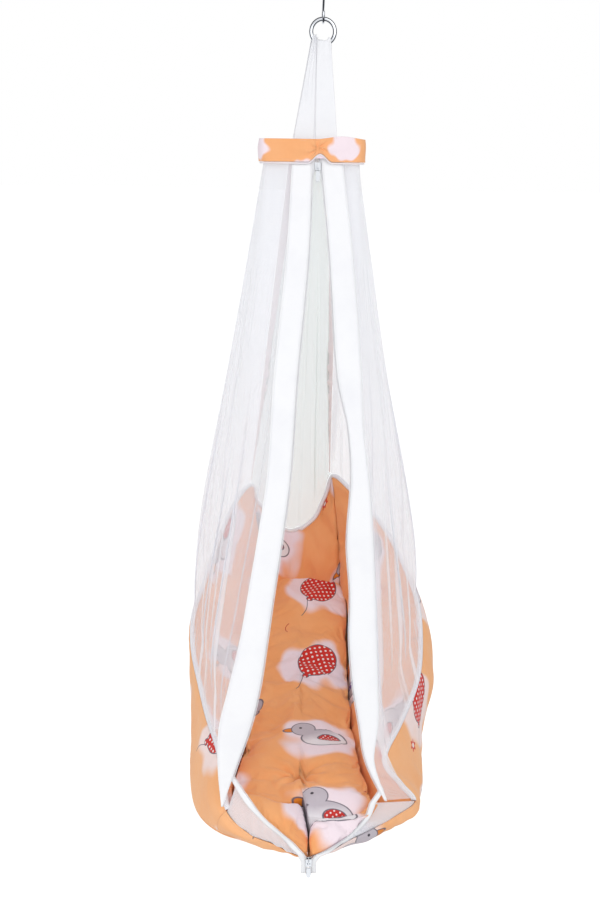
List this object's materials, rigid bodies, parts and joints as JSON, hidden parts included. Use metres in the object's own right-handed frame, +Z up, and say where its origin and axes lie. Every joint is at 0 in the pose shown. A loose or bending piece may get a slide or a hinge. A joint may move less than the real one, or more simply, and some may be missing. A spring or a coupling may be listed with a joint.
{
  "type": "hanging baby cradle",
  "caption": "Hanging baby cradle: padded cloth tub with a mattress under a net tent with a zip opening, held by two tape loops from a steel ring on an S-hook.",
  "frame": {"origin": "inner crown of the S-hook's upper bend, where the hook rests on its support", "axes": "+Z up, +Y from the foot of the tub, with the zip opening, to its head, +X to the right seen from the foot"},
  "size_m": [0.4317, 0.7776, 1.2088],
  "materials": {
    "steel": "polished, bright zinc or nickel plated",
    "printed_cotton": "matte printed cotton, orange with a nursery print",
    "quilted_lining": "matte printed cotton over wadding",
    "mattress_cotton": "matte printed cotton over wadding, tufted",
    "white_cotton": "matte white cotton, close woven",
    "net": "fine white polyester net",
    "zip_tape": "white woven tape with a white coil",
    "collar_board": "stiff plastic strip, hidden"
  },
  "bodies": {
    "hook": {"hanging_hook": "steel"},
    "ring": {"hanging_ring": "steel"},
    "cradle": {"hanging_tape_left": "white_cotton", "hanging_tape_right": "white_cotton", "collar_cover": "printed_cotton", "collar_frame": "collar_board", "collar_piping": "white_cotton", "collar_top_panel": "net", "front_strip_left": "white_cotton", "front_strip_right": "white_cotton", "zip_half_left": "zip_tape", "zip_half_right": "zip_tape", "zip_stop_upper": "steel", "zip_stop_lower": "steel", "back_tape_left": "white_cotton", "back_tape_right": "white_cotton", "net_left": "net", "net_right": "net", "net_back": "net", "foot_net_left": "net", "foot_net_right": "net", "foot_padding_left": "quilted_lining", "foot_padding_right": "quilted_lining", "foot_cover_left": "printed_cotton", "side_cover_left": "printed_cotton", "head_cover": "printed_cotton", "side_cover_right": "printed_cotton", "foot_cover_right": "printed_cotton", "side_padding_left": "quilted_lining", "head_padding": "quilted_lining", "side_padding_right": "quilted_lining", "rim_binding_left": "white_cotton", "rim_binding_head": "white_cotton", "rim_binding_right": "white_cotton", "base_cover": "printed_cotton", "mattress": "mattress_cotton"},
    "upper_slider": {"zip_slider_upper": "steel"},
    "upper_pull": {"zip_pull_upper": "steel"},
    "lower_slider": {"zip_slider_lower": "steel"},
    "lower_pull": {"zip_pull_lower": "steel"}
  },
  "joints": [
    {"name": "fore_aft_swing", "type": "hinge", "parent": "hook", "child": "ring", "pos_m": [0, 0, -0.039], "axis": [1, 0, 0], "range_deg": [-20, 20]},
    {"name": "side_swing", "type": "hinge", "parent": "ring", "child": "cradle", "pos_m": [0, 0, -0.06215], "axis": [0, 1, 0], "range_deg": [-20, 20]},
    {"name": "upper_zip_slide", "type": "slide", "parent": "cradle", "child": "upper_slider", "axis": [0, 0.301, 0.9536], "range_m": [0, 0.006]},
    {"name": "upper_pull_hinge", "type": "hinge", "parent": "upper_slider", "child": "upper_pull", "pos_m": [-0.00868, -0.09946, -0.25749], "axis": [-1, 0, 0], "range_deg": [0, 100]},
    {"name": "lower_zip_slide", "type": "slide", "parent": "cradle", "child": "lower_slider", "axis": [0, 0, -1], "range_m": [0, 0.01]},
    {"name": "lower_pull_hinge", "type": "hinge", "parent": "lower_slider", "child": "lower_pull", "pos_m": [-0.02016, -0.4397, -1.18325], "axis": [-1, 0, 0], "range_deg": [0, 145]}
  ]
}
